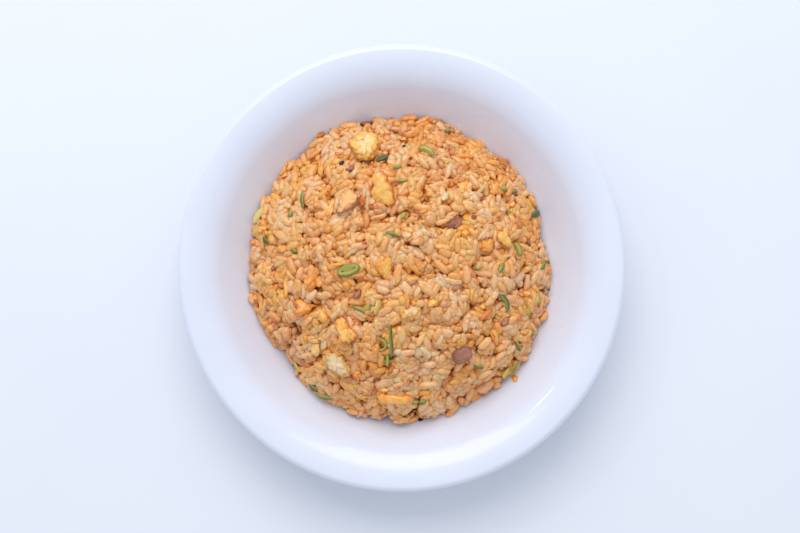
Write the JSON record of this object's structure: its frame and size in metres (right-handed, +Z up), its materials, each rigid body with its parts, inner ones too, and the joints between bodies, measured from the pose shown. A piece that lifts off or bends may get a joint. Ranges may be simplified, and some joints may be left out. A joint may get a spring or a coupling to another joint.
{
  "type": "fried rice plate",
  "caption": "Round heap of fried rice with egg, pork and green onion, moulded into a dome on its own deep white rimmed plate.",
  "frame": {"origin": "on the table under the middle of the plate", "axes": "+Z up; +Y towards the far side of the plate, +X to the right, as the dish is looked down on"},
  "size_m": [0.21, 0.21, 0.0511],
  "materials": {
    "porcelain": "smooth white glaze, slightly cool, with soft wide reflections",
    "rice": "cooked grains, tan to golden brown with seasoning, moist and slightly shiny",
    "egg": "scrambled egg, yellow to orange, soft and folded",
    "pork": "roast pork, mauve brown with a browner edge",
    "onion": "pale cooked onion, translucent and glossy",
    "scallion": "green onion, bright cut face and darker skin, glossy"
  },
  "bodies": {
    "root": {"plate": "porcelain", "rice": "rice", "egg_back": "egg", "egg_upper": "egg", "egg_left": "egg", "egg_lower_left": "egg", "egg_centre": "egg", "egg_right": "egg", "egg_strip": "egg", "pork_slice": "pork", "pork_upper": "pork", "pork_right": "pork", "onion_centre": "onion", "onion_lower_left": "onion", "scallion_left": "scallion"}
  },
  "joints": []
}
